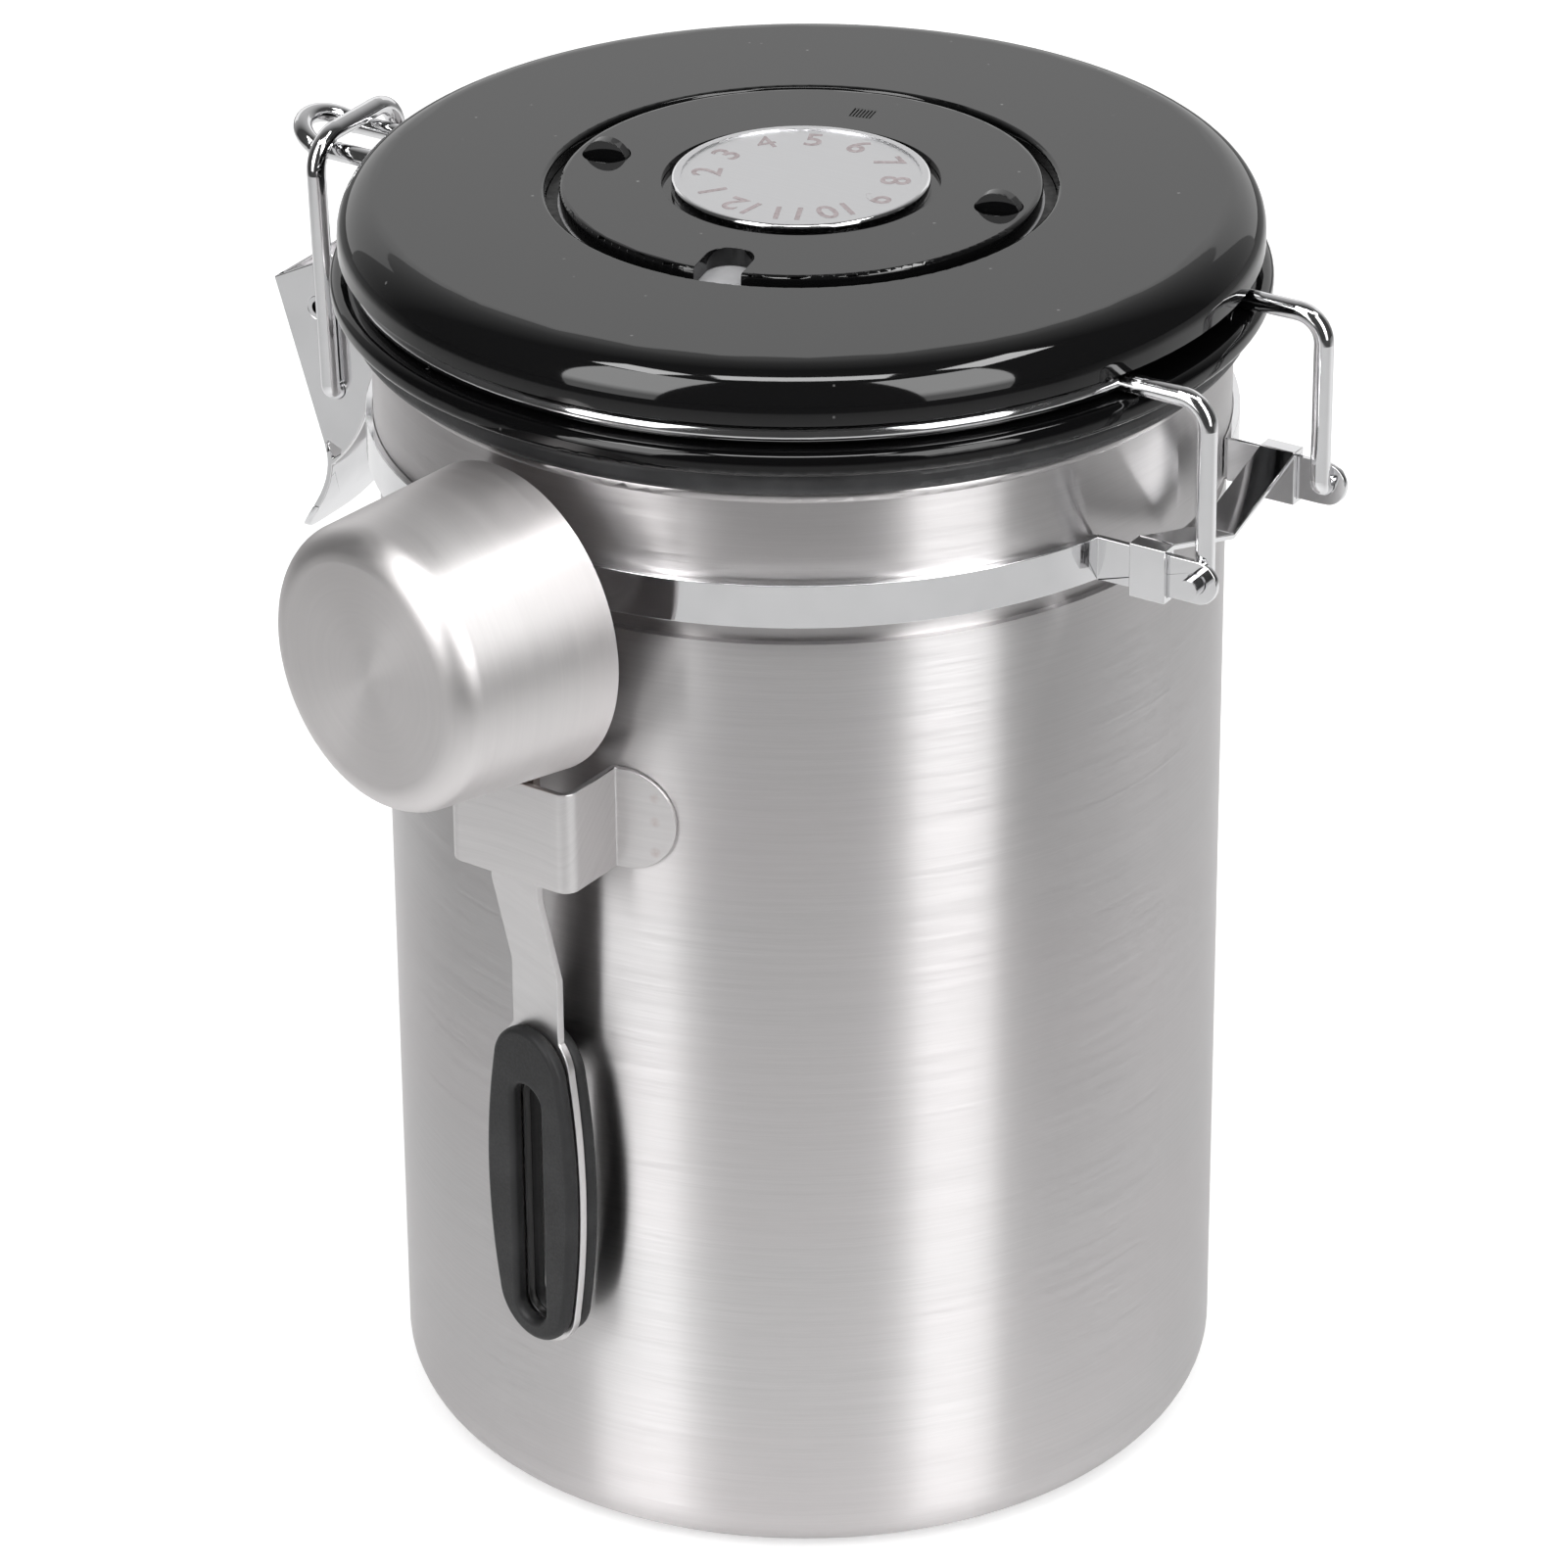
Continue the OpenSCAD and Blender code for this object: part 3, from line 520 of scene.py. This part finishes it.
# Vent valve: a white moulded cup with a caged rubber disc over six holes, and a felt pad against grounds.
# Gas lifts the disc; it falls back and seals.
def moulded(name, colour, roughness):
    """Satin moulded plastic with fine spark-eroded texture."""
    material, tree, shader = principled(name, colour, 0, roughness)
    place = placed(tree)
    fine = noise(tree, place, (2200,) * 3, 2)
    broad = noise(tree, place, (70,) * 3, 2)
    tree.links.new(tinted(tree, broad, tuple(c * 0.94 for c in colour), colour), shader.inputs["Base Color"])
    tree.links.new(spread(tree, fine, roughness - 0.06, roughness + 0.08), shader.inputs["Roughness"])
    bumped(tree, shader, fine, 0.01 * MM, 0.3)
    return material


VALVE_WHITE = (0.80, 0.80, 0.78)
DISC_RED = (0.42, 0.13, 0.07)
FELT = (0.78, 0.77, 0.72)
white_plastic = moulded("valve_white", VALVE_WHITE, roughness=0.38)
painted("valve_body", white_plastic)
painted("valve_cage", white_plastic)
painted("valve_disc", rubber("valve_disc_rubber", DISC_RED, roughness=0.5, grain=1800))
painted("valve_filter", moulded("filter_felt", FELT, roughness=0.9))


# Latch: a pressed lever with two cheeks on a tubular rivet in the strap's bracket, with its wire bail.
# Pushed down past centre, the lever pulls the bail tight over the lid's loop.
LEVER_EDGE = 0.16 * MM
broken_edges("latch_lever", "lever", chrome, LEVER_EDGE)
painted("latch_pin", chrome)
painted("bail_wire", chrome)


# Scoop: a drawn cup spot-welded to a flat strip handle, satin brushed, with a warm tint from the weld.
# The handle ends in an oval covered on both faces by black rubber.
SCOOP_AZ = HOLDER_AZ - 12
CUP_STEEL = (0.68, 0.666, 0.664)
HANDLE_STEEL = (0.63, 0.622, 0.622)
HANDLE_SCRATCHES = 500
cup_low, cup_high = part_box("scoop_cup")
cup_axis = Matrix.Rotation(math.radians(SCOOP_AZ), 3, "Z") @ Matrix.Rotation(math.radians(90), 3, "Y")
cup_steel, cup_tree, cup_shader = brushed_steel(
    "scoop_steel", CUP_STEEL, 0.45, 0.5, centre=(cup_low + cup_high) / 2, turn=cup_axis.transposed(),
    scratches=STRIP_SCRATCHES, contrast=0.35)
painted("scoop_cup", cup_steel)
handle_steel_and_slot_shade, handle_tree, handle_shader = brushed_steel(
    "handle_steel_and_slot_shade", HANDLE_STEEL, 0.34, 0.2, scratches=HANDLE_SCRATCHES)

# Weld tint: a brown and straw stain on cup and handle where the strip is welded under the cup.
facing = Vector((math.cos(math.radians(SCOOP_AZ)), math.sin(math.radians(SCOOP_AZ)), 0))
side = Vector((-facing.y, facing.x, 0))
JOINT = Vector((-4.1 * MM, -68.1 * MM, cup_low.z))
STAINS = ((1.5 * MM, -7 * MM), (2.5 * MM, -2 * MM), (1.5 * MM, 5 * MM))
STAIN_R = 5 * MM
STAIN_BROWN = (0.34, 0.17, 0.09)
stain_places = [JOINT + facing * forward + side * across for forward, across in STAINS]
for tree, shader in ((cup_tree, cup_shader), (handle_tree, handle_shader)):
    place = placed(tree)
    patchy = spread(tree, noise(tree, place, (420,) * 3, 3), 0.1, 0.9)
    stained = math_node(tree, "MULTIPLY", spots(tree, place, stain_places, STAIN_R), patchy)
    steel_colour = shader.inputs["Base Color"].links[0].from_socket
    tree.links.new(tinted(tree, stained, steel_colour, STAIN_BROWN), shader.inputs["Base Color"])

# Grip slot: its walls are painted black right through the handle, as painted shade inside the narrow slot.
SLOT_DOWN = 3 * MM
SLOT_HALF_W, SLOT_HALF_L = 2.4 * MM, 18.0 * MM
SLOT_WIDER, SLOT_LONGER = 1.2, 1.06
SLOT_PLAY = 0.05 * MM
SLOT_SHADE_MARGIN = 0.2 * MM
SLOT_SHADE_BLACK = (0.01, 0.01, 0.01)
grip_low, grip_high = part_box("scoop_grip_front")
slot_middle = (grip_low + grip_high) / 2 - Vector((0, 0, SLOT_DOWN))


def slot_opened(point):
    """Moves a corner on the slot's wall out to the size the slot shows in the photo."""
    away = point - slot_middle
    across, along = away.dot(side), away.z
    if abs(across) > SLOT_HALF_W + SLOT_PLAY or abs(along) > SLOT_HALF_L + SLOT_PLAY:
        return point
    return point + side * across * (SLOT_WIDER - 1) + Vector((0, 0, along * (SLOT_LONGER - 1)))


tree, shader = handle_tree, handle_shader
away = vector_node(tree, "SUBTRACT", placed(tree), slot_middle).outputs[0]
masks = []
for axis, half in ((side, SLOT_HALF_W * SLOT_WIDER), (Vector((0, 0, 1)), SLOT_HALF_L * SLOT_LONGER)):
    reach = math_node(tree, "ABSOLUTE", vector_node(tree, "DOT_PRODUCT", away, axis).outputs["Value"])
    masks.append(spread(tree, reach, 1, 0, half + SLOT_SHADE_MARGIN, half + SLOT_SHADE_MARGIN + PAINT_EDGE))
# Painted shade: the steel in the slot and just round it is painted black and not metallic.
in_slot_shade = math_node(tree, "MULTIPLY", masks[0], masks[1])
steel_colour = shader.inputs["Base Color"].links[0].from_socket
tree.links.new(tinted(tree, in_slot_shade, steel_colour, SLOT_SHADE_BLACK), shader.inputs["Base Color"])
tree.links.new(spread(tree, in_slot_shade, 1, 0, 0, 1), shader.inputs["Metallic"])
broken_edges("scoop_handle", "scoop", handle_steel_and_slot_shade, STRIP_EDGE, shape=slot_opened)

GRIP_RUBBER = (0.012, 0.012, 0.0125)
GRIP_ROUND = 0.9 * MM
grip = rubber("grip_rubber", GRIP_RUBBER, roughness=0.5, grain=2600)
for node in ("scoop_grip_front", "scoop_grip_rear"):
    broken_edges(node, "scoop", grip, GRIP_ROUND, segments=4, shape=slot_opened)


# Studio: a white sweep, a white backdrop behind, darker walls and ceiling round the camera, and soft boxes.
# The walls show only in reflections, as they do in bright metal and gloss plastic.
def card_material(name, strength):
    """A white card of one plain brightness."""
    material = bpy.data.materials.new(name)
    material.use_nodes = True
    tree = material.node_tree
    tree.nodes.remove(tree.nodes["Principled BSDF"])
    glow = tree.nodes.new("ShaderNodeEmission")
    glow.inputs["Color"].default_value = (1, 1, 1, 1)
    glow.inputs["Strength"].default_value = strength
    tree.links.new(glow.outputs[0], tree.nodes["Material Output"].inputs["Surface"])
    return material


CAMERA_AZ = -58
FLOOR_SIZE = 8
FLOOR_GREY = (0.80, 0.80, 0.80)
bpy.ops.object.select_all(action="DESELECT")
bpy.ops.mesh.primitive_plane_add(size=FLOOR_SIZE, location=(0, 0, 0))
floor = bpy.context.object
floor.name = "floor"
floor_material = bpy.data.materials.new("floor_white")
floor_material.use_nodes = True
tree = floor_material.node_tree
floor_shader = tree.nodes["Principled BSDF"]
floor_shader.inputs["Base Color"].default_value = (*FLOOR_GREY, 1)
floor_shader.inputs["Roughness"].default_value = 0.9
floor_shader.inputs["Specular IOR Level"].default_value = 0
floor_shader.inputs["Emission Color"].default_value = (1, 1, 1, 1)
path = tree.nodes.new("ShaderNodeLightPath")
mirrored = path.outputs["Is Glossy Ray"]
out_from_can = vector_node(tree, "LENGTH", placed(tree)).outputs["Value"]

# White paper on the floor, as reflections see it: it ends half a metre in front and fades at the sides.
PAPER_AZ = CAMERA_AZ - 20
PAPER_GLOW = 0.12
toward_front = Vector((math.cos(math.radians(PAPER_AZ)), math.sin(math.radians(PAPER_AZ)), 0))
heading = vector_node(tree, "NORMALIZE", placed(tree)).outputs[0]
ahead = vector_node(tree, "DOT_PRODUCT", heading, toward_front).outputs["Value"]
front = spread(tree, ahead, 0, 1, -0.45, 0.15)
near_shade = spread(tree, out_from_can, 1, 0.60, 0.12, 0.33)
front_end = spread(tree, out_from_can, 1, 0.1, 0.46, 0.60)
front_paper = math_node(tree, "MULTIPLY", near_shade, front_end)
side_paper = spread(tree, out_from_can, 1, 0.4, 0.45, 0.80)
brighter = math_node(tree, "SUBTRACT", front_paper, side_paper)
paper = math_node(tree, "MULTIPLY_ADD", front, brighter, side_paper)
white_far_off = spread(tree, out_from_can, 0.42, 1.0, 0.6, 1.8)
seen = math_node(tree, "MULTIPLY", path.outputs["Is Camera Ray"], white_far_off)
seen = math_node(tree, "MULTIPLY_ADD", math_node(tree, "MULTIPLY", mirrored, paper), PAPER_GLOW, seen)
tree.links.new(seen, floor_shader.inputs["Emission Strength"])
dimmed = math_node(tree, "MULTIPLY", mirrored, math_node(tree, "SUBTRACT", 1.0, paper))
tree.links.new(tinted(tree, dimmed, FLOOR_GREY, (0, 0, 0)), floor_shader.inputs["Base Color"])
floor.data.materials.append(floor_material)

# Dark walls: a dome round the camera, open below and behind the canister, where the backdrop shows.
WALLS_R = 2.2
OPEN_ANGLE = 40
OPEN_HEIGHT = 33
WALL_DARK, WALL_LIGHT = 0.06, 0.55
bpy.ops.mesh.primitive_uv_sphere_add(segments=48, ring_count=32, radius=WALLS_R, location=(0, 0, 0))
walls = bpy.context.object
walls.name = "dark_walls"
bpy.ops.object.mode_set(mode="EDIT")
bpy.ops.mesh.select_all(action="DESELECT")
bpy.ops.object.mode_set(mode="OBJECT")
for face in walls.data.polygons:
    azimuth = math.degrees(math.atan2(face.center.y, face.center.x))
    elevation = math.degrees(math.asin(face.center.z / face.center.length))
    behind = abs((azimuth - CAMERA_AZ) % 360 - 180) < OPEN_ANGLE
    face.select = face.center.z < 0 or (behind and elevation < OPEN_HEIGHT)
bpy.ops.object.mode_set(mode="EDIT")
bpy.ops.mesh.delete(type="FACE")
bpy.ops.object.mode_set(mode="OBJECT")
wall_card = card_material("dark_wall", WALL_DARK)
tree = wall_card.node_tree
backdrop = Vector((-math.cos(math.radians(CAMERA_AZ)), -math.sin(math.radians(CAMERA_AZ)), 0.25)).normalized()
direction = vector_node(tree, "NORMALIZE", placed(tree)).outputs[0]
towards = vector_node(tree, "DOT_PRODUCT", direction, backdrop).outputs["Value"]
lighter = spread(tree, towards, WALL_DARK, WALL_LIGHT, 0.35, 0.85)
tree.links.new(lighter, tree.nodes["Emission"].inputs["Strength"])
walls.data.materials.append(wall_card)


def only_reflected(card):
    """Keeps a card out of the picture itself, so that it shows only in reflections."""
    card.visible_camera = False
    card.visible_diffuse = False
    card.visible_shadow = False
    card.visible_transmission = False


only_reflected(walls)


LAMP_TARGET = Vector((0, 0, 0.09))
LAMP_DISTANCE = 1.3
CARD_AHEAD = 0.02


def soft_box(name, azimuth, elevation, width, height, brightness):
    """A rectangular soft box that faces the canister, of this brightness seen from it."""
    lamp = bpy.data.lights.new(name, "AREA")
    lamp.shape = "RECTANGLE"
    lamp.size = width
    lamp.size_y = height
    lamp.energy = brightness * math.pi * width * height
    box = bpy.data.objects.new(name, lamp)
    bpy.context.scene.collection.objects.link(box)
    a, e = math.radians(CAMERA_AZ + azimuth), math.radians(elevation)
    outward = Vector((math.cos(a) * math.cos(e), math.sin(a) * math.cos(e), math.sin(e)))
    place = outward * LAMP_DISTANCE + LAMP_TARGET
    inward = (LAMP_TARGET - place).to_track_quat("-Z", "Y").to_matrix().to_4x4()
    box.matrix_world = Matrix.Translation(place) @ inward
    return box


def bare_panel(name, lamp_box, width, height, brightness, foot=None):
    """The bright face of a lamp, shown only in reflections; its foot may be dimmer."""
    lamp_box.visible_glossy = False
    bpy.ops.object.select_all(action="DESELECT")
    bpy.ops.mesh.primitive_plane_add(size=1)
    panel = bpy.context.object
    panel.name = name
    ahead = lamp_box.matrix_world @ Matrix.Translation((0, 0, -CARD_AHEAD))
    panel.matrix_world = ahead @ Matrix.Diagonal((width, height, 1, 1))
    face = card_material(name, brightness)
    panel.data.materials.append(face)
    if foot:
        tree = face.node_tree
        up = vector_node(tree, "DOT_PRODUCT", placed(tree), (0, 1, 0)).outputs["Value"]
        fading = spread(tree, up, foot, brightness, -0.28, -0.10)
        tree.links.new(fading, tree.nodes["Emission"].inputs["Strength"])
    only_reflected(panel)


# Tall strips left and right make the can's two bright bands.
STRIP_ELEVATION = 26
STRIP_H = 1.5
STRIP_FOOT = 2.0
# Name, azimuth from the camera, width, brightness as a lamp, brightness in reflections.
STRIPS = (("strip_right", 38.5, 0.52, 3.4, 6.6), ("strip_left", -45, 0.56, 3.0, 6.4))
for name, azimuth, width, lit, shown in STRIPS:
    lamp_box = soft_box(name, azimuth, STRIP_ELEVATION, width, STRIP_H, lit)
    bare_panel(name + "_panel", lamp_box, width, STRIP_H, shown, STRIP_FOOT)

# Three small lamps overhead make the glints on the lid's round shoulder.
TOP_H, TOP_CARD_H = 0.26, 0.22
TOP_LIT, TOP_SHOWN = 5.0, 12.0
# Name, azimuth from the camera, elevation, width.
TOP_LAMPS = (("top_front", 0, 70, 0.60), ("top_left", -60, 62, 0.30), ("top_right", 75, 62, 0.40))
for name, azimuth, elevation, width in TOP_LAMPS:
    lamp_box = soft_box(name, azimuth, elevation, width, TOP_H, TOP_LIT)
    bare_panel(name + "_panel", lamp_box, width, TOP_CARD_H, TOP_SHOWN)

# White surroundings: full white to the camera and in reflections, dimmer as a light.
AMBIENT = 0.55
world = bpy.data.worlds.new("studio_white")
bpy.context.scene.world = world
world.use_nodes = True
tree = world.node_tree
path = tree.nodes.new("ShaderNodeLightPath")
shown = math_node(tree, "MAXIMUM", path.outputs["Is Camera Ray"], path.outputs["Is Glossy Ray"])
shown = math_node(tree, "MAXIMUM", shown, path.outputs["Is Transmission Ray"])
tree.links.new(spread(tree, shown, AMBIENT, 1, 0, 1), tree.nodes["Background"].inputs["Strength"])
tree.nodes["Background"].inputs["Color"].default_value = (1, 1, 1, 1)

# Camera: its place, heading, tilt and roll were fitted to the outlines in the photo.
CAMERA_PLACE = (0.49475, -0.79176, 0.58106)
CAMERA_HEADING = 32.1885
CAMERA_DOWN = 27.5368
CAMERA_ROLL = -0.4657
camera = bpy.data.objects.new("camera", bpy.data.cameras.new("camera"))
bpy.context.scene.collection.objects.link(camera)
camera.data.sensor_width = 36
camera.data.lens = 166.53
turned = Matrix.Rotation(math.radians(CAMERA_HEADING), 4, "Z")
tilted = Matrix.Rotation(math.radians(90 - CAMERA_DOWN), 4, "X")
rolled = Matrix.Rotation(math.radians(CAMERA_ROLL), 4, "Z")
camera.matrix_world = Matrix.Translation(CAMERA_PLACE) @ turned @ tilted @ rolled
bpy.context.scene.camera = camera
bpy.context.scene.view_settings.view_transform = "Standard"
